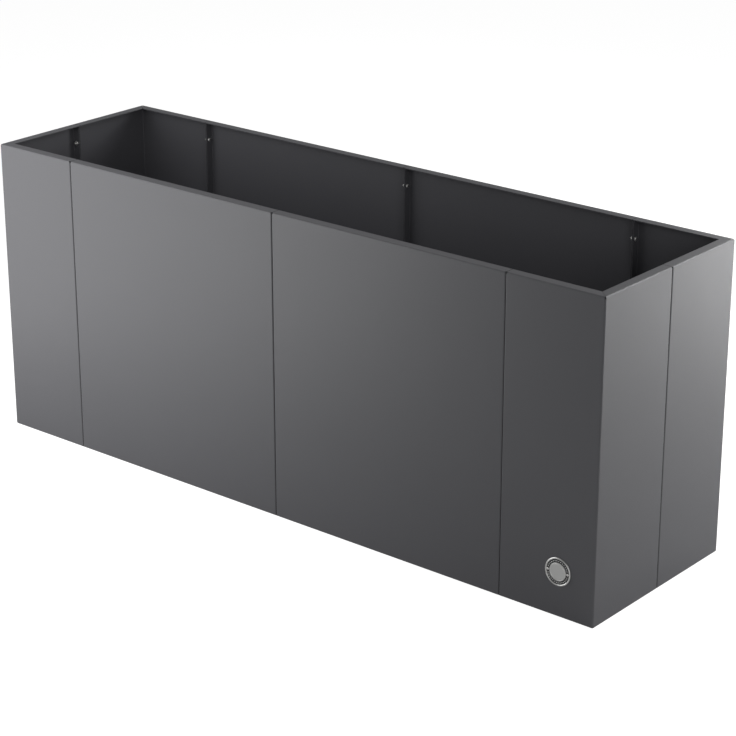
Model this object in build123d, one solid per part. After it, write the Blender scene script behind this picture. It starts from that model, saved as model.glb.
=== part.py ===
from build123d import *
import math
import os

# A raised garden bed: a bottomless box of folded sheet metal that stands on Z = 0, centred on the origin.
# Its length runs along X and its front faces -Y. Four corner elements and four panel elements are bolted
# together, flange to flange, on the inside.

# Overall size
bed_length = 1810.0
bed_depth = 500.0
bed_height = 750.0
corner_leg = 250.0  # the corner element's leg along a long wall

# Folded sheet
sheet = 2.0
inner_bend = 1.5  # inside radius of every bend
rim_width = 25.0
foot_width = 25.0
flange_width = 22.0
flange_gap = 1.0  # from a flange's end to the rim above it and to the foot below it
mitre_gap = 0.5  # between the two rims, or the two feet, of a corner
relief_hole = 3.8  # the hole left where three bends meet

# Rows of screws through the seams
screws_per_seam = 3
screw_inset = 12.5  # from the wall's outer face to a screw's axis
row_inset = 48.0  # from the top and from the ground to the row's end screws
screw_diameter = 6.0
hole_play = 0.6  # the flange's holes are this much wider than the screw
thread_gap = 0.1  # round the shank, in the nut
thread_end = 3.0  # how far the screw reaches past its nut
end_chamfer = 0.7
head_diameter = 10.5
head_height = 3.3
head_edge = 0.6  # height of the button head's straight edge
head_flat = 5.6  # diameter of the button head's flat top
head_bulge = 0.5  # how far the button head's curve rises over a straight line
socket_width = 4.0  # across flats
socket_depth = 2.1
nut_width = 10.0  # across flats
nut_height = 5.0
nut_face = 9.5  # diameter of the nut's round bearing face
nut_chamfer = 0.6  # how far down the nut's corners are cut
turn_step = 37.0  # degrees from one screw's final turn to the next one's

# Round badge plate on the front right corner element
badge_diameter = 66.0
badge_from_end = 94.0  # from the bed's right end to the plate's centre
badge_from_ground = 107.0
badge_base = 1.4
badge_bead_width = 3.6
badge_bead_edge = 1.8
badge_bead_bulge = 0.9
badge_disc_diameter = 43.0
badge_disc_height = 2.4
badge_disc_chamfer = 0.5
rivet_spacing = 51.4
rivet_diameter = 4.0
rivet_play = 0.2
rivet_head_diameter = 6.0
rivet_head_height = 1.6
rivet_tail_diameter = 6.0
rivet_tail_height = 1.2

# Worked out from the sizes above
outer_bend = inner_bend + sheet
end_leg = bed_depth / 2
panel_length = bed_length / 2 - corner_leg
deepest_fold = max(rim_width, foot_width, flange_width)
row_length = bed_height - 2 * row_inset
screw_heights = [row_inset + row_length * i / (screws_per_seam - 1) for i in range(screws_per_seam)]
shank_end = sheet + nut_height + thread_end
rivet_places = [-rivet_spacing / 2, rivet_spacing / 2]
spare = 1.0  # cutters run past the faces that they cut


def block(low, high):
    """A box between two opposite corners."""
    size = [b - a for a, b in zip(low, high)]
    return Pos(*low) * Box(*size, align=(Align.MIN, Align.MIN, Align.MIN))


def round_walls(solid, walls, radius):
    """Round every edge of the solid's lowest face along each axis in walls."""
    edges = ShapeList()
    for axis in walls:
        face = solid.faces().sort_by(axis)[0]
        edges += [edge for edge in face.edges() if edge not in edges]
    return fillet(edges, radius)


def relief(vertex, inward):
    """Cutter for the round hole where three bends meet."""
    return Plane(origin=vertex, z_dir=inward) * Cylinder(relief_hole / 2, 4 * outer_bend)


def end_cuts(end):
    """What is cut from a wall along X at its flange at X = end: slots, reliefs and screw holes."""
    slot_depth = deepest_fold + spare
    low, high = sheet, bed_height - sheet
    cuts = [
        block((end - sheet, outer_bend, low), (end + spare, slot_depth, low + flange_gap)),
        block((end - sheet, outer_bend, high - flange_gap), (end + spare, slot_depth, high)),
        relief((end, 0, 0), (-1, 1, 1)),
        relief((end, 0, bed_height), (-1, 1, -1)),
    ]
    hole = Rot(0, 90, 0) * Cylinder((screw_diameter + hole_play) / 2, 4 * sheet)
    cuts += [Pos(end, screw_inset, z) * hole for z in screw_heights]
    return cuts


def mitre(level, width):
    """Cutter for the mitre between the two folds of a corner, centred on a height."""
    inner_corner = width * math.sqrt(2) + spare
    slot = block((outer_bend, -mitre_gap / 2, -2 * sheet), (inner_corner, mitre_gap / 2, 2 * sheet))
    return Pos(0, 0, level) * Rot(0, 0, 45) * slot


def folded(size_x, size_y, walls, cuts):
    """A sheet folded round a block, with walls on the block's lowest face along each axis in walls.

    Two walls make a corner, whose folds run round its inside. One wall makes a panel, open at the back.
    """
    is_corner = len(walls) == 2
    outside = round_walls(block((0, 0, 0), (size_x, size_y, bed_height)), walls, outer_bend)
    inside_y = size_y - sheet if is_corner else size_y + spare
    inside = block((sheet, sheet, sheet), (size_x - sheet, inside_y, bed_height - sheet))
    shell = outside - round_walls(inside, walls, inner_bend)
    folds = [
        (foot_width, -spare, sheet + flange_gap),
        (flange_width, sheet, bed_height - sheet),
        (rim_width, bed_height - sheet - flange_gap, bed_height + spare),
    ]
    for width, low, high in folds:
        start_x = width if is_corner else -spare
        shell -= block((start_x, width, low), (size_x + spare, size_y + spare, high))
    for cut in cuts:
        shell -= cut
    return shell


def corner_element(size_x, size_y):
    """An L of two walls, along +X and +Y from the corner at the origin."""
    diagonal = Plane(origin=(0, 0, 0), z_dir=(1, -1, 0))
    cuts = end_cuts(size_x) + [mirror(cut, about=diagonal) for cut in end_cuts(size_y)]
    cuts += [relief((0, 0, 0), (1, 1, 1)), relief((0, 0, bed_height), (1, 1, -1))]
    cuts += [mitre(0, foot_width), mitre(bed_height, rim_width)]
    return folded(size_x, size_y, [Axis.X, Axis.Y], cuts)


def panel_element(length):
    """A flat wall along +X from the origin, with a flange at each end."""
    middle = Plane(origin=(length / 2, 0, 0), z_dir=(1, 0, 0))
    cuts = end_cuts(length) + [mirror(cut, about=middle) for cut in end_cuts(length)]
    return folded(length, deepest_fold, [Axis.Y], cuts)


def turned(*outline):
    """A solid turned about Z from the closed outline that the lines make, as radius and height."""
    return revolve(Plane.XZ * make_face(Wire(ShapeList(outline))), Axis.Z)


def dome(outer, inner, bulge):
    """An arc between an outer and an inner point of an outline, rising over their straight line."""
    return SagittaArc(inner, outer, bulge).edges()


def cap(top, outer):
    """An arc from the axis to an outer point of an outline, level on the axis."""
    return TangentArc(top, outer, tangent=(1, 0)).edges()


def hexagon(width, height):
    """A hexagonal prism of a width across flats, standing on the XY plane."""
    return extrude(RegularPolygon(width / 2, 6, major_radius=False), height)


def rod(diameter, low, high):
    """A round rod along Z between two heights."""
    return Pos(0, 0, low) * Cylinder(diameter / 2, high - low, align=(Align.CENTER, Align.CENTER, Align.MIN))


def screw():
    """A button-head screw along Z, with its seam at Z = 0 and its head above."""
    seat, top = sheet, sheet + head_height
    edge, flat = head_diameter / 2, head_flat / 2
    sides = Polyline((flat, top), (0, top), (0, seat), (edge, seat), (edge, seat + head_edge))
    head = turned(*sides.edges(), *dome((edge, seat + head_edge), (flat, top), head_bulge))
    shank = rod(screw_diameter, -shank_end, seat)
    shank = chamfer(shank.edges().sort_by(Axis.Z)[0], end_chamfer)
    return head + shank - Pos(0, 0, top - socket_depth) * hexagon(socket_width, socket_depth)


def nut():
    """A hexagonal nut along Z, under its seam at Z = 0, with its corners cut to round faces."""
    corner = nut_width / math.sqrt(3)
    outline = Polyline(
        (0, 0),
        (nut_face / 2, 0),
        (corner, nut_chamfer),
        (corner, nut_height - nut_chamfer),
        (nut_face / 2, nut_height),
        (0, nut_height),
        close=True,
    )
    blank = turned(*outline.edges()) & hexagon(nut_width, nut_height)
    bore = rod(screw_diameter + 2 * thread_gap, -spare, nut_height + spare)
    return Pos(0, 0, -sheet - nut_height) * (blank - bore)


def badge_plate():
    """A round plate on the XY plane: a beaded edge, a flat channel and a raised disc."""
    edge, disc = badge_diameter / 2, badge_disc_diameter / 2
    bead = edge - badge_bead_width
    shoulder = badge_disc_height - badge_disc_chamfer
    outline = Polyline(
        (bead, badge_bead_edge),
        (bead, badge_base),
        (disc, badge_base),
        (disc, shoulder),
        (disc - badge_disc_chamfer, badge_disc_height),
        (0, badge_disc_height),
        (0, 0),
        (edge, 0),
        (edge, badge_bead_edge),
    )
    crown = dome((edge, badge_bead_edge), (bead, badge_bead_edge), badge_bead_bulge)
    plate = turned(*outline.edges(), *crown)
    hole = rod(rivet_diameter + rivet_play, -spare, badge_base + spare)
    return plate - [Pos(x, 0, 0) * hole for x in rivet_places]


def rivet():
    """A rivet along Z, with the wall's outer face at Z = 0, its head above and its tail inside."""
    edge, top = rivet_head_diameter / 2, badge_base + rivet_head_height
    sides = Polyline((0, top), (0, badge_base), (edge, badge_base))
    head = turned(*sides.edges(), *cap((0, top), (edge, badge_base)))
    shank = rod(rivet_diameter, -sheet, badge_base)
    return head + shank + rod(rivet_tail_diameter, -sheet - rivet_tail_height, -sheet)


def seam_hardware(name, place, turn):
    """One seam's rows of screws and nuts, each screw turned a little further than the last."""
    spots = [
        place * Pos(0, screw_inset, z) * Rot(0, -90, 0) * Rot(0, 0, turn + i * turn_step)
        for i, z in enumerate(screw_heights)
    ]
    pieces = {"screws": screw(), "nuts": nut()}
    return {f"{name}_{kind}": Compound([spot * piece for spot in spots]) for kind, piece in pieces.items()}


# The walls, anticlockwise as seen from above. Each starts at a corner, runs along its own +X and has its
# inside at +Y.
half_length, half_depth = bed_length / 2, bed_depth / 2
front = Pos(-half_length, -half_depth, 0)
right = Pos(half_length, -half_depth, 0) * Rot(0, 0, 90)
back = Pos(half_length, half_depth, 0) * Rot(0, 0, 180)
left = Pos(-half_length, half_depth, 0) * Rot(0, 0, 270)

corner_from_long_wall = corner_element(corner_leg, end_leg)
corner_from_end_wall = corner_element(end_leg, corner_leg)
nodes = {
    "corner_front_left": front * corner_from_long_wall,
    "corner_front_right": right * corner_from_end_wall,
    "corner_back_right": back * corner_from_long_wall,
    "corner_back_left": left * corner_from_end_wall,
}

panel = panel_element(panel_length)
first, second = Pos(corner_leg, 0, 0), Pos(corner_leg + panel_length, 0, 0)
nodes["panel_front_left"] = front * first * panel
nodes["panel_front_right"] = front * second * panel
nodes["panel_back_right"] = back * first * panel
nodes["panel_back_left"] = back * second * panel

third = Pos(corner_leg + 2 * panel_length, 0, 0)
middle_of_end = Pos(end_leg, 0, 0)
seams = {
    "seam_front_left": front * first,
    "seam_front_middle": front * second,
    "seam_front_right": front * third,
    "seam_right_end": right * middle_of_end,
    "seam_back_right": back * first,
    "seam_back_middle": back * second,
    "seam_back_left": back * third,
    "seam_left_end": left * middle_of_end,
}
for i, (name, place) in enumerate(seams.items()):
    nodes.update(seam_hardware(name, place, i * screws_per_seam * turn_step))

# The badge plate lies on the front wall's outer face, and its rivets go through the wall.
badge_centre = (half_length - badge_from_end, -half_depth, badge_from_ground)
badge_face = Plane(origin=badge_centre, x_dir=(1, 0, 0), z_dir=(0, -1, 0))
nodes["badge_plate"] = badge_face * badge_plate()
nodes["badge_rivets"] = Compound([badge_face * Pos(x, 0, 0) * rivet() for x in rivet_places])
wall_hole = rod(rivet_diameter + rivet_play, -sheet - spare, spare)
nodes["corner_front_right"] -= [badge_face * Pos(x, 0, 0) * wall_hole for x in rivet_places]

os.makedirs("parts", exist_ok=True)
for name, solid in nodes.items():
    export_step(solid, f"parts/{name}.step")
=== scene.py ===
# %% [markdown]
# # A raised garden bed of folded, powder-coated steel
# The bed is a bottomless box, 1.81 m long, 0.5 m deep and 0.75 m high. Four corner elements and four
# flat panels are folded from 2 mm sheet and bolted together on the inside, so that the outside shows
# only fine seams. This lesson loads the finished metalwork, gives it its powder coat, makes the small
# turned and threaded pieces afresh, and lights the whole in a plain studio.

# %% Load the metalwork
import math

import bmesh
import bpy
from mathutils import Matrix, Vector


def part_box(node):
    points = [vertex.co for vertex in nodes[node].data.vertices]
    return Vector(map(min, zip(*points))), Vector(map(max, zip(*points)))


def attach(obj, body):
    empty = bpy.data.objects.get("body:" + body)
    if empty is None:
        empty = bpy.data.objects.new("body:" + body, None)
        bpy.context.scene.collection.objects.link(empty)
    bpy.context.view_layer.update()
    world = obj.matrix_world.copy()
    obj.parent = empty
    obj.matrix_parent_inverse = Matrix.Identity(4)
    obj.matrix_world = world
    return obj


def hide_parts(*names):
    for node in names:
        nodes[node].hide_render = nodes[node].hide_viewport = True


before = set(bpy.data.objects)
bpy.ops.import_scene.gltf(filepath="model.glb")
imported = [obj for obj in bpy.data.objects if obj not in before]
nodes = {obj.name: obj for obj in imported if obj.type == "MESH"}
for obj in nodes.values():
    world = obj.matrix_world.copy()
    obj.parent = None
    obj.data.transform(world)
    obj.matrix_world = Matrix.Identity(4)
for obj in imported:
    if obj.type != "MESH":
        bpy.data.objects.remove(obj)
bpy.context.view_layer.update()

# %% [markdown]
# ## The camera
# A camera is easiest to talk about the way a photographer sets it up: what it aims at, from which side,
# how high, how far away and with which lens. A long lens from five metres keeps the bed's upright edges
# nearly parallel. Azimuth 0 looks along +Y, at the bed's long front.

# %% Set up the camera
aim = Vector((0.06063, 0.01813, 0.31072))
azimuth = math.radians(39.635)
elevation = math.radians(21.030)
distance = 5.4763
lens = 112.18  # mm, on a sensor 36 mm wide

towards_camera = Vector((
    math.sin(azimuth) * math.cos(elevation),
    -math.cos(azimuth) * math.cos(elevation),
    math.sin(elevation),
))
camera = bpy.data.objects.new("camera", bpy.data.cameras.new("camera"))
bpy.context.scene.collection.objects.link(camera)
bpy.context.scene.camera = camera
camera.data.lens = lens
camera.data.sensor_width = 36.0
camera.data.clip_end = 100.0
camera.location = aim + towards_camera * distance
camera.rotation_mode = "QUATERNION"
camera.rotation_quaternion = (-towards_camera).to_track_quat("-Z", "Y")
print("camera at", [round(value, 3) for value in camera.location])

# %% [markdown]
# ## Shader maths in Python
# Procedural materials are sums: a mask times a colour, a noise less a half. Laid out by hand, each step
# is one more node. Here a socket is wrapped in a class whose operators add those nodes, so a sum is
# written as a sum. `1 - mask` works too, because the reflected operators are there. Every other kind of
# node comes from one method, which sets the node up first and then fills or links its sockets.

# %% A socket that does arithmetic
class Value:
    """A shader socket that takes part in sums. Each operator adds the Math node that does it."""

    def __init__(self, finish, socket):
        self.finish = finish
        self.socket = socket

    def math(self, operation, *others):
        """Any operation of the Math node, with this value first."""
        sockets = dict(enumerate((self, *others)))
        return self.finish.add("ShaderNodeMath", {"operation": operation}, sockets)

    def math_after(self, operation, first):
        """The reflected form, with this value second."""
        return self.finish.add("ShaderNodeMath", {"operation": operation}, {0: first, 1: self})

    def __add__(self, other):
        return self.math("ADD", other)

    def __radd__(self, other):
        return self.math_after("ADD", other)

    def __sub__(self, other):
        return self.math("SUBTRACT", other)

    def __rsub__(self, other):
        return self.math_after("SUBTRACT", other)

    def __mul__(self, other):
        return self.math("MULTIPLY", other)

    def __rmul__(self, other):
        return self.math_after("MULTIPLY", other)

    def __gt__(self, other):
        return self.math("GREATER_THAN", other)

    def __lt__(self, other):
        return self.math("LESS_THAN", other)


class Finish:
    """A material, and the one method that adds nodes to it."""

    def __init__(self, name):
        self.material = bpy.data.materials.new(name)
        self.material.use_nodes = True
        self.tree = self.material.node_tree
        self.surface = self.tree.nodes["Principled BSDF"]

    def add(self, kind, settings=None, sockets=None, output=0):
        """Add a node: its settings first, then its sockets' values or links. Returns one output."""
        node = self.tree.nodes.new(kind)
        for name, value in (settings or {}).items():
            setattr(node, name, value)
        self.fill(node, sockets or {})
        return Value(self, node.outputs[output])

    def fill(self, node, sockets):
        """Fill sockets with plain values, or link them where the value is a socket too."""
        for name, value in sockets.items():
            if isinstance(value, Value):
                self.tree.links.new(value.socket, node.inputs[name])
            else:
                node.inputs[name].default_value = value

    def mix(self, factor, colour_a, colour_b):
        """A colour that goes from the first to the second."""
        colours = {0: factor, 6: colour_a, 7: colour_b}
        return self.add("ShaderNodeMix", {"data_type": "RGBA"}, colours, output=2)

    def noise(self, place, scale, detail):
        """A cloudy pattern with so many clouds to a metre, from 0 to 1."""
        sockets = {"Vector": place, "Scale": scale, "Detail": detail}
        return self.add("ShaderNodeTexNoise", sockets=sockets)

    def axis(self, vector, letter):
        """One of a vector's three numbers."""
        return self.add("ShaderNodeSeparateXYZ", sockets={"Vector": vector}, output=letter)

    def bump(self, height, strength, depth):
        """A relief that is so many metres deep, for the surface's Normal."""
        sockets = {"Height": height, "Strength": strength, "Distance": depth}
        return self.add("ShaderNodeBump", sockets=sockets)

    def shade(self, **sockets):
        """Fill or link the sockets of the surface, by their names with underscores for spaces."""
        self.fill(self.surface, {name.replace("_", " "): value for name, value in sockets.items()})


# %% [markdown]
# ## The powder coat
# The sheet is coated with a satin dark grey powder, baked until it flows. Up close such a coat has a
# very shallow orange peel, about a millimetre and a half from crest to crest, and fine flecks where
# grains of a slightly paler powder melted in. Its gloss drifts a little from place to place over a wall.
# From where the photograph was taken only an even, soft sheen is left. So the colour moves by a few
# parts in a hundred, and the rest is done by the roughness and by a bump that is too shallow to be seen
# crest by crest.
#
# Along each seam where two elements meet, a thin line of painted shade is laid into the coat, and a
# small spot of painted shade fills the opening that the rims' folds leave at each corner; both are black
# and rough. Both are the same at either end and on either side, so the place is mirrored first: its
# absolute value has one seam and one corner to look for instead of eight and four.

# %% Make the powder coat
coat_colour = (0.0575, 0.0575, 0.0635, 1.0)
coat_fleck = (0.0700, 0.0700, 0.0770, 1.0)
coat_roughness = 0.42
drift_per_metre = 5.0
peel_per_metre, peel_depth = 650.0, 0.000012
fleck_per_metre = 2600.0
leg_end = 0.655  # metres from the middle of the front to where a corner element ends
# Painted shade: a line this wide along each seam, and a spot of the radius below in each corner opening.
joint_shade_width = 0.0014
relief_place = (0.905, 0.250, 0.7465)
relief_shade_radius = 0.0022
# The colour of the painted shade.
painted_shade_black = (0.0, 0.0, 0.0, 1.0)


def make_powder_coat():
    coat = Finish("powder_coat")
    place = coat.add("ShaderNodeTexCoord", output="Object")
    drift = coat.noise(place, drift_per_metre, 3.0)
    peel = coat.noise(place, peel_per_metre, 1.5)
    grain = coat.noise(place, fleck_per_metre, 1.0)
    flecks = coat.add("ShaderNodeMapRange", sockets={"Value": grain, "From Min": 0.55, "From Max": 0.75})
    mirrored = coat.add("ShaderNodeVectorMath", {"operation": "ABSOLUTE"}, {0: place})
    x, y = coat.axis(mirrored, "X"), coat.axis(mirrored, "Y")
    from_joint = (x - leg_end).math("ABSOLUTE").math("MINIMUM", x).math("MINIMUM", y)
    ends = {0: mirrored, 1: relief_place}
    from_relief = coat.add("ShaderNodeVectorMath", {"operation": "DISTANCE"}, ends, output="Value")
    # Painted shade: where the seams and the corner openings would lie in shade, the coat is painted
    # black and rough.
    painted_shade = (from_joint < joint_shade_width / 2).math("MAXIMUM", from_relief < relief_shade_radius)
    grey = coat.mix(0.25 * drift + 0.6 * flecks, coat_colour, coat_fleck)
    coat.shade(
        Base_Color=coat.mix(painted_shade, grey, painted_shade_black),
        Roughness=coat_roughness + 0.06 * (drift - 0.5) + 0.03 * (grain - 0.5) + 0.6 * painted_shade,
        Normal=coat.bump(peel, 1.0, peel_depth),
    )
    return coat.material


powder_coat = make_powder_coat()
for name in nodes:
    if name.startswith(("corner", "panel")):
        nodes[name].data.materials.clear()
        nodes[name].data.materials.append(powder_coat)

# %% [markdown]
# ## Stainless steel
# The screws, nuts and rivets are satin stainless steel. A metal has no colour of its own beside the
# light that it mirrors, so its finish is mostly roughness. Small turned pieces are tumbled to take off
# their burrs, which leaves them almost matt: a fine cloudiness, which is a noise a third of a millimetre
# across, a few larger scuffs, and a bump so that the light breaks up along each edge.

# %% Make the stainless steel
cloud_per_metre, scuff_per_metre = 3000.0, 400.0
cloud_depth = 0.00001


def make_stainless():
    steel = Finish("stainless")
    place = steel.add("ShaderNodeTexCoord", output="Object")
    cloud = steel.noise(place, cloud_per_metre, 3.0)
    scuff = steel.noise(place, scuff_per_metre, 2.0)
    steel.shade(
        Base_Color=(0.56, 0.555, 0.545, 1.0),
        Metallic=1.0,
        Roughness=0.44 + 0.1 * cloud + 0.08 * scuff,
        Normal=steel.bump(cloud, 1.0, cloud_depth),
    )
    return steel.material


stainless = make_stainless()

# %% [markdown]
# ## From a bmesh to a piece
# A bmesh is a workshop: shapes are made and cut there, and then moved into a mesh that an object shows.
# Every piece goes through the same last steps. Its doubles are merged and its faces turned outwards, it
# is shaded smooth with its sharp edges kept, it is told which body it rides on and which finish it has,
# and the plain piece it stands for is hidden. The object stays at the origin, with its place in its
# vertices.

# %% Finish a piece
touching = 1e-7  # metres: points closer than this are one point
sharp_angle = math.radians(32.0)


def finish_piece(name, work, material, replaced):
    """Turn a bmesh into a piece that stands for one of the plain pieces."""
    bmesh.ops.remove_doubles(work, verts=work.verts, dist=touching)
    bmesh.ops.recalc_face_normals(work, faces=work.faces)
    open_edges = sum(not edge.is_manifold for edge in work.edges)
    data = bpy.data.meshes.new(name)
    work.to_mesh(data)
    work.free()
    data.shade_smooth()
    data.set_sharp_from_angle(angle=sharp_angle)
    data.materials.append(material)
    piece = bpy.data.objects.new(name, data)
    bpy.context.scene.collection.objects.link(piece)
    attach(piece, "root")
    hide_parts(replaced)
    print(name, "faces:", len(data.polygons), "open edges:", open_edges)
    return piece


# %% [markdown]
# ## Turning
# Screws, nuts, rivets and the badge plate are all turned on a lathe. In Blender a lathe is `spin`: a
# profile of points is drawn on one side of the axis and swept once round. Where the profile starts and
# ends on the axis, the sweep closes the shape by itself once its doubles are merged. Sizes are in
# millimetres here, as on a drawing, and become metres where a point is made.

# %% Turn a profile
MM = 0.001


def turn(points, steps):
    """Turn an open line of points, as radius and height in millimetres, once round the Z axis."""
    work = bmesh.new()
    verts = [work.verts.new((radius * MM, 0.0, height * MM)) for radius, height in points]
    edges = [work.edges.new(pair) for pair in zip(verts, verts[1:])]
    whole_turn = {"cent": (0.0, 0.0, 0.0), "axis": (0.0, 0.0, 1.0), "angle": math.tau}
    bmesh.ops.spin(work, geom=verts + edges, steps=steps, use_merge=True, **whole_turn)
    bmesh.ops.remove_doubles(work, verts=work.verts, dist=touching)
    return work


def shoulder(start, end, bulge, steps):
    """Points from start to end on a curve that bulges to the right of their straight line."""
    (r0, z0), (r1, z1) = start, end
    length = math.hypot(r1 - r0, z1 - z0)
    right = ((z1 - z0) / length, (r0 - r1) / length)
    points = []
    for i in range(steps + 1):
        along = i / steps
        rise = 4 * bulge * along * (1 - along)
        radius = r0 + (r1 - r0) * along + right[0] * rise
        height = z0 + (z1 - z0) * along + right[1] * rise
        points.append((radius, height))
    return points


# %% [markdown]
# ## The screws' heads
# Each seam is held by three M6 button-head screws. The head is a low dome with a hexagonal socket. To
# sink the socket, a hexagon with eight edges to a side is bridged to the round rim of the dome's flat
# top, then extruded down and closed by the shallow cone that the drill leaves.

# %% Make a screw's head
sheet = 2.0
head_diameter, head_height, head_flat = 10.5, 3.3, 5.9
socket_width, socket_depth, drill_cone = 4.0, 2.1, 0.5
thread_diameter, thread_root, pitch = 6.0, 4.9, 1.0
screw_end, thread_top = -10.0, 1.0
head_bevel, head_edge, head_bulge = 0.2, 0.6, 0.45
neck_length = 0.5  # how far the head's neck reaches into the thread
head_steps, dome_steps = 48, 8


def level_edges(work, height, faces):
    """The edges that lie level at a height in millimetres and border that many faces."""
    return [
        edge
        for edge in work.edges
        if len(edge.link_faces) == faces
        and all(abs(vert.co.z - height * MM) < touching for vert in edge.verts)
    ]


def make_head():
    """The head and the plain neck under it, with the seam at height 0."""
    seat, top, neck = sheet, sheet + head_height, thread_root / 2
    edge = head_diameter / 2
    foot = thread_top - neck_length
    profile = [(0.0, foot), (neck, foot), (neck, seat)]
    profile += [(edge - head_bevel, seat), (edge, seat + head_bevel)]
    dome = shoulder((edge, seat + head_edge), (head_flat / 2, top), head_bulge, dome_steps)
    head = turn(profile + dome, head_steps)
    dome_rim = level_edges(head, top, faces=1)
    made = bmesh.ops.create_circle(head, segments=6, radius=socket_width / math.sqrt(3) * MM)
    bmesh.ops.translate(head, verts=made["verts"], vec=(0.0, 0.0, top * MM))
    hexagon = level_edges(head, top, faces=0)
    bmesh.ops.subdivide_edges(head, edges=hexagon, cuts=head_steps // 6 - 1)
    hexagon = level_edges(head, top, faces=0)
    bmesh.ops.bridge_loops(head, edges=dome_rim + hexagon)
    walls = bmesh.ops.extrude_edge_only(head, edges=hexagon)
    lower = [part for part in walls["geom"] if isinstance(part, bmesh.types.BMVert)]
    bmesh.ops.translate(head, verts=lower, vec=(0.0, 0.0, -socket_depth * MM))
    bottom = bmesh.ops.edgeloop_fill(head, edges=level_edges(head, top - socket_depth, faces=1))
    cone = bmesh.ops.poke(head, faces=bottom["faces"])
    bmesh.ops.translate(head, verts=cone["verts"], vec=(0.0, 0.0, -drill_cone * MM))
    return head


# %% [markdown]
# ## The screws' threads
# A lathe cuts a thread by moving its tool along the axis while the work turns. `spin` does the same when
# it is given a small step along the axis: the profile of one tooth winds up into a helix, and each
# turn's last edge meets the next turn's first. The helix is made too long, then cut to length with
# `bisect_plane`, which leaves a clean loop to close. At the tip the teeth are drawn in to a cone, so
# that the nut starts easily.

# %% Cut a thread
thread_steps = 24
tip_cone = 0.9
tip_sink = 0.15  # how far below the thread's root the cone starts
# One tooth, as how high it stands above the root and how far through a turn.
tooth_shape = [(0.0, 0.125), (1.0, 0.4375), (1.0, 0.5625), (0.0, 0.875), (0.0, 1.125)]


def cut_flat(work, place, normal):
    """Cut away what lies beyond a plane, and close the cut."""
    everything = work.verts[:] + work.edges[:] + work.faces[:]
    cut = bmesh.ops.bisect_plane(
        work, geom=everything, dist=1e-8, plane_co=place, plane_no=normal, clear_outer=True
    )
    loop = [part for part in cut["geom_cut"] if isinstance(part, bmesh.types.BMEdge)]
    bmesh.ops.edgeloop_fill(work, edges=loop)


def make_thread():
    root, crest = thread_root / 2, thread_diameter / 2
    start = screw_end - 2.01 * pitch  # no point of the helix lies on a cut
    turns = math.ceil(thread_top - start) + 1
    thread = bmesh.new()
    verts = []
    for rise, part in tooth_shape:
        radius = root + rise * (crest - root)
        verts.append(thread.verts.new((radius * MM, 0.0, (start + part * pitch) * MM)))
    edges = [thread.edges.new(pair) for pair in zip(verts, verts[1:])]
    bmesh.ops.spin(
        thread,
        geom=verts + edges,
        axis=(0.0, 0.0, 1.0),
        cent=(0.0, 0.0, 0.0),
        dvec=(0.0, 0.0, pitch * MM / thread_steps),
        angle=math.tau * turns,
        steps=thread_steps * turns,
    )
    bmesh.ops.remove_doubles(thread, verts=thread.verts, dist=touching)
    cut_flat(thread, (0.0, 0.0, screw_end * MM), (0.0, 0.0, -1.0))
    cut_flat(thread, (0.0, 0.0, thread_top * MM), (0.0, 0.0, 1.0))
    for vert in thread.verts:
        widest = (root - tip_sink) * MM + (vert.co.z - screw_end * MM)
        radius = vert.co.xy.length
        if vert.co.z < (screw_end + tip_cone) * MM and radius > widest:
            vert.co.xy *= widest / radius
    return thread


# %% [markdown]
# ## The nuts
# A nut is turned first and milled after. The turned blank has its bore with a countersink at each end,
# and a wide cone on each face. Six cuts with `bisect_plane` mill the flats, and where a flat meets the
# cone it leaves the curved edge that marks a real nut. The blank is a little narrower than the hexagon's
# corners, so the corners come out blunt.

# %% Mill a nut
nut_width, nut_height, nut_face = 10.0, 5.0, 9.5
nut_blank = 11.3  # diameter before milling
nut_chamfer = 0.55
nut_bore = 6.1
nut_sink = 0.4
nut_steps = 96


def make_nut():
    """A nut under its seam at height 0."""
    top = -sheet
    bottom = top - nut_height
    bore, face, blank = nut_bore / 2, nut_face / 2, nut_blank / 2
    profile = [
        (bore, bottom + nut_sink),
        (bore + nut_sink, bottom),
        (face, bottom),
        (blank, bottom + nut_chamfer),
        (blank, top - nut_chamfer),
        (face, top),
        (bore + nut_sink, top),
        (bore, top - nut_sink),
        (bore, bottom + nut_sink),
    ]
    nut = turn(profile, nut_steps)
    for i in range(6):
        side = Vector((math.cos(i * math.pi / 3), math.sin(i * math.pi / 3), 0.0))
        cut_flat(nut, side * nut_width / 2 * MM, side)
    return nut


# %% [markdown]
# ## Bolting the seams
# A plain row of screws and a plain row of nuts already stand at every seam, in the right places. Their
# boxes say all that is needed: which way the screws point, which side their heads are on, and where the
# top and the bottom screw are. A matrix built from that puts each detailed copy exactly over the plain
# one. Each screw has been turned a little further than the last, because no two stop at the same angle.

# %% Find the places of a seam's screws
screws_per_seam = 3
turn_step = math.radians(37.0)


def seam_places(seam, first):
    """One matrix for each screw of a seam, with the head towards the matrix's own +Z."""
    screw_low, screw_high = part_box(f"{seam}_screws")
    nut_low, nut_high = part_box(f"{seam}_nuts")
    size = screw_high - screw_low
    along = 0 if size.x > size.y else 1
    towards_head = (screw_low + screw_high)[along] > (nut_low + nut_high)[along]
    pointing = Vector((0.0, 0.0, 0.0))
    pointing[along] = 1.0 if towards_head else -1.0
    head_end = screw_high[along] if towards_head else screw_low[along]
    place = (screw_low + screw_high) / 2
    place[along] = head_end - pointing[along] * (sheet + head_height) * MM
    radius = head_diameter / 2 * MM
    lowest, highest = screw_low.z + radius, screw_high.z - radius
    upright = Vector((0.0, 0.0, 1.0))
    facing = Matrix((upright, pointing.cross(upright), pointing)).transposed().to_4x4()
    matrices = []
    for i in range(screws_per_seam):
        place.z = lowest + (highest - lowest) * i / (screws_per_seam - 1)
        spun = Matrix.Rotation((first + i) * turn_step, 4, "Z")
        matrices.append(Matrix.Translation(place) @ facing @ spun)
    return matrices


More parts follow.
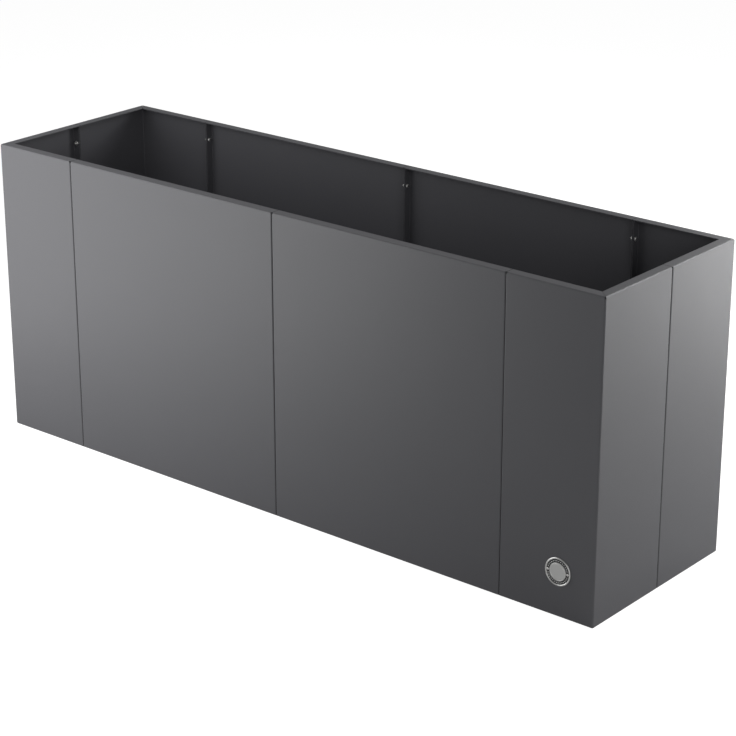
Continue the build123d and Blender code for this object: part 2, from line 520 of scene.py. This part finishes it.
# %% Bolt every seam
def copies(models, places):
    """A bmesh with a copy of each model at each place."""
    row = bmesh.new()
    for place in places:
        for model in models:
            start = len(row.verts)
            row.from_mesh(model)
            row.verts.ensure_lookup_table()
            bmesh.ops.transform(row, matrix=place, verts=row.verts[start:])
    return row


def as_model(work, name):
    """Keep a bmesh as a mesh that copies are made from."""
    bmesh.ops.recalc_face_normals(work, faces=work.faces)
    model = bpy.data.meshes.new(name)
    work.to_mesh(model)
    work.free()
    return model


head_model = as_model(make_head(), "head_model")
thread_model = as_model(make_thread(), "thread_model")
nut_model = as_model(make_nut(), "nut_model")
seams = sorted(name.removesuffix("_screws") for name in nodes if name.endswith("_screws"))
for number, seam in enumerate(seams):
    places = seam_places(seam, number * screws_per_seam)
    where = seam.removeprefix("seam_")
    screws = copies([head_model, thread_model], places)
    nuts = copies([nut_model], places)
    finish_piece(f"screws_{where}", screws, stainless, f"{seam}_screws")
    finish_piece(f"nuts_{where}", nuts, stainless, f"{seam}_nuts")
for model in (head_model, thread_model, nut_model):
    bpy.data.meshes.remove(model)

# %% [markdown]
# ## The badge plate's steel
# The round plate near the foot of the bed was turned on a lathe, and the tool left rings that are finer
# than a hair. They are made from the distance to the plate's centre: a Mapping node moves the centre to
# the origin and flattens the depth, the length of what is left is the radius, and a sine of it is the
# rings. The same radius tells where the sunk channel is. It is filled with dark paint, and everything
# that stands above the paint is skimmed bright.

# %% Make the badge plate's steel
plate_low, plate_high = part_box("badge_plate")
badge_centre = (plate_low + plate_high) / 2
wall_face = plate_high.y
ring_pitch, ring_depth = 0.00045, 0.000012
smear_per_metre = 1500.0
channel_inside, channel_outside = 0.02155, 0.02925
paint_level = wall_face - 0.00165
bright, paint = (0.62, 0.62, 0.61, 1.0), (0.012, 0.012, 0.013, 1.0)


def make_badge_steel():
    steel = Finish("badge_steel")
    place = steel.add("ShaderNodeTexCoord", output="Object")
    centred = {"Location": (-badge_centre.x, 0.0, -badge_centre.z), "Scale": (1.0, 0.0, 1.0)}
    flat = steel.add("ShaderNodeMapping", sockets={"Vector": place, **centred})
    radius = steel.add("ShaderNodeVectorMath", {"operation": "LENGTH"}, {0: flat}, output="Value")
    rings = (radius * (math.tau / ring_pitch)).math("SINE")
    smear = steel.noise(place, smear_per_metre, 3.0)
    depth = steel.axis(place, "Y")
    painted = (radius > channel_inside) * (radius < channel_outside) * (depth > paint_level)
    bare = 1 - painted
    steel.shade(
        Base_Color=steel.mix(painted, bright, paint),
        Metallic=bare,
        Roughness=0.28 + 0.12 * smear + 0.12 * painted,
        Normal=steel.bump(rings * bare, 0.6, ring_depth),
    )
    return steel.material


badge_steel = make_badge_steel()

# %% [markdown]
# ## The badge plate
# The plate has a beaded edge, a sunk channel and a raised disc with a slight dish, all from one turned
# profile. A ring of small round beads lies in the channel, a border that plates, coins and buttons have
# had for centuries. One bead is turned and copied round, and two places are left free for the rivets.

# %% Turn the badge plate
plate_radius = (plate_high.x - plate_low.x) / 2 / MM
channel_floor, disc_top = 1.4, 2.4
bead_radius, bead_circle, bead_count = 1.3, 25.4, 32
bead_angles = [math.radians(angle) for angle in (0, 25, 50, 72)]
bead_height, bead_sink = 0.8 * bead_radius, 0.3
rivet_circle = 25.7
rivet_room = 0.97  # beads whose cosine is past this would lie under a rivet


def make_plate():
    """The plate, lying on height 0 with its face up."""
    edge = plate_radius
    profile = [(0.0, 0.0), (edge - 0.2, 0.0), (edge, 0.2)]
    profile += shoulder((edge, 1.8), (edge - 3.6, 1.8), 0.88, 12)
    profile += [(29.3, 1.45), (29.1, channel_floor), (21.7, channel_floor), (21.5, 1.5)]
    profile += [(21.5, 1.9), (21.35, 2.25), (21.0, disc_top), (19.3, disc_top)]
    profile += [(19.1, 2.2), (18.5, 2.2), (18.3, disc_top), (13.0, 2.32), (7.0, 2.26), (0.0, 2.24)]
    return turn(profile, 144)


def make_bead():
    """One bead, let a little way into the channel's floor."""
    foot = channel_floor - bead_sink
    profile = [(0.0, foot), (bead_radius, foot)]
    for angle in bead_angles:
        profile.append((math.cos(angle) * bead_radius, channel_floor + math.sin(angle) * bead_height))
    return turn([*profile, (0.0, channel_floor + bead_height)], 16)


# %% [markdown]
# The plate was modelled lying down. One matrix stands it up against the wall: its own X stays along the
# wall, and its face, which looked up, looks forward.

# %% Set the plate, its beads and its rivets
stand_up = Matrix.Translation((badge_centre.x, wall_face, badge_centre.z))
stand_up = stand_up @ Matrix.Rotation(math.pi / 2, 4, "X")
bead_places = []
for i in range(bead_count):
    angle = math.tau * (i + 0.5) / bead_count
    if abs(math.cos(angle)) < rivet_room:
        out = Matrix.Translation((bead_circle * MM, 0, 0))
        bead_places.append(stand_up @ Matrix.Rotation(angle, 4, "Z") @ out)
plate_model = as_model(make_plate(), "plate_model")
bead_model = as_model(make_bead(), "bead_model")
badge = copies([plate_model], [stand_up])
beads_model = as_model(copies([bead_model], bead_places), "beads_model")
badge.from_mesh(beads_model)
finish_piece("badge", badge, badge_steel, "badge_plate")


def make_rivet():
    """A rivet with the wall's outer face at height 0, its dome above and its flattened tail below."""
    tail = [(0.0, -3.2), (2.6, -3.2), (3.0, -3.0), (3.0, -2.1), (2.9, -2.0), (2.0, -2.0)]
    head = [(2.0, channel_floor), (2.95, channel_floor), (3.0, channel_floor + 0.1)]
    return turn(tail + head + shoulder((3.0, channel_floor + 0.3), (0.0, 3.0), 0.38, 8), 40)


rivet_model = as_model(make_rivet(), "rivet_model")
rivet_places = [stand_up @ Matrix.Translation((side * rivet_circle * MM, 0, 0)) for side in (-1, 1)]
finish_piece("rivets", copies([rivet_model], rivet_places), stainless, "badge_rivets")
for model in (plate_model, bead_model, beads_model, rivet_model):
    bpy.data.meshes.remove(model)

# %% [markdown]
# ## The studio floor
# The bed stands on white paper that runs on behind it. One plane can't be both even white for the camera
# and a believable reflector under the bed, so there are two. The lower one is paper that only the light
# meets: it throws light back up the walls. The upper one is what the camera sees: the same paper with a
# glow of its own that burns it out to white, as a photographer does with a second row of lamps, and
# leaves only the shade close to the bed. The lower one lies a millimetre down, so that the two never lie
# in one plane.

# %% Lay the floor
floor_size = 30.0  # metres from the middle to an edge


def lay_floor(name, white, glow):
    """A sheet of white paper, with a glow of its own if it needs one."""
    mesh = bmesh.new()
    bmesh.ops.create_grid(mesh, x_segments=1, y_segments=1, size=floor_size)
    data = bpy.data.meshes.new(name)
    mesh.to_mesh(data)
    mesh.free()
    floor = bpy.data.objects.new(name, data)
    bpy.context.scene.collection.objects.link(floor)
    paper = Finish(name)
    paper.shade(Base_Color=(white, white, white, 1.0), Roughness=0.9)
    paper.shade(Specular_IOR_Level=0.0, Emission_Color=(1.0, 1.0, 1.0, 1.0), Emission_Strength=glow)
    data.materials.append(paper.material)
    return floor


paper_below = lay_floor("paper_below", white=0.8, glow=0.0)
paper_below.visible_camera = False
paper_below.location.z = -MM
paper_seen = lay_floor("paper_seen", white=0.35, glow=0.88)
for ray in ("diffuse", "glossy", "transmission", "shadow"):
    setattr(paper_seen, f"visible_{ray}", False)

# %% [markdown]
# ## The lamps
# Satin paint shows a lamp as a broad, soft glow, so what tells the eye that a wall is flat is how slowly
# the glow fades along it. Large softboxes do that. One low at the front left lets the long wall fade
# from left to right, one low at the back right does the same for the end wall, and the others reach the
# inside and the rims. The bed is long, so a box doesn't face its middle: it faces the part that is
# nearer to it.

# %% Hang the softboxes
face_share = (0.35, 0.1)  # how much of a box's own place its aim keeps, along X and Y
face_reach = (0.7, 0.2)  # how far from the middle of the bed it may aim, in metres
face_height = 0.45


def hang_softbox(name, place, size, glow):
    """A softbox that faces the bed. Its glow is 1 where its cloth looks as bright as lit white paper."""
    data = bpy.data.lights.new(name, "AREA")
    data.shape = "RECTANGLE"
    data.size, data.size_y = size
    data.energy = math.pi * size[0] * size[1] * glow
    box = bpy.data.objects.new(name, data)
    bpy.context.scene.collection.objects.link(box)
    faced = [
        max(-reach, min(reach, share * at))
        for share, reach, at in zip(face_share, face_reach, place)
    ]
    box.location = place
    box.rotation_mode = "QUATERNION"
    box.rotation_quaternion = (Vector((*faced, face_height)) - box.location).to_track_quat("-Z", "Y")
    box.visible_camera = False
    print(name, "watts:", round(data.energy, 1))


hang_softbox("front_left", (-0.87, -0.79, 0.73), (1.47, 1.53), 2.37)
hang_softbox("back_right", (1.46, 1.70, 0.83), (1.03, 1.83), 5.85)
hang_softbox("high_back_right", (2.60, 3.01, 3.13), (1.14, 1.77), 10.00)
hang_softbox("overhead", (-1.25, -0.06, 2.99), (2.42, 1.49), 0.90)
hang_softbox("far_right", (5.89, -4.23, 2.92), (2.69, 2.90), 5.30)
hang_softbox("behind", (0.00, 3.12, 2.09), (0.78, 0.50), 21.70)
hang_softbox("far_back_left", (-3.20, 3.20, 2.40), (2.40, 1.20), 0.19)

# %% [markdown]
# ## The sky of the studio
# The sky gives the even light that fills every shade. The camera sees a brighter sky than the one that
# lights the bed: `Light Path` tells the camera's own rays from all others.

# %% Give the studio its sky
world = bpy.data.worlds.new("studio")
bpy.context.scene.world = world
world.use_nodes = True
sky = world.node_tree.nodes["Background"]
sky.inputs["Color"].default_value = (1.0, 1.0, 1.0, 1.0)
sky_light, sky_seen = 0.235, 1.1
path = world.node_tree.nodes.new("ShaderNodeLightPath")
strength = world.node_tree.nodes.new("ShaderNodeMapRange")
strength.inputs["To Min"].default_value = sky_light
strength.inputs["To Max"].default_value = sky_seen
world.node_tree.links.new(path.outputs["Is Camera Ray"], strength.inputs["Value"])
world.node_tree.links.new(strength.outputs["Result"], sky.inputs["Strength"])
bpy.context.scene.view_settings.view_transform = "Standard"
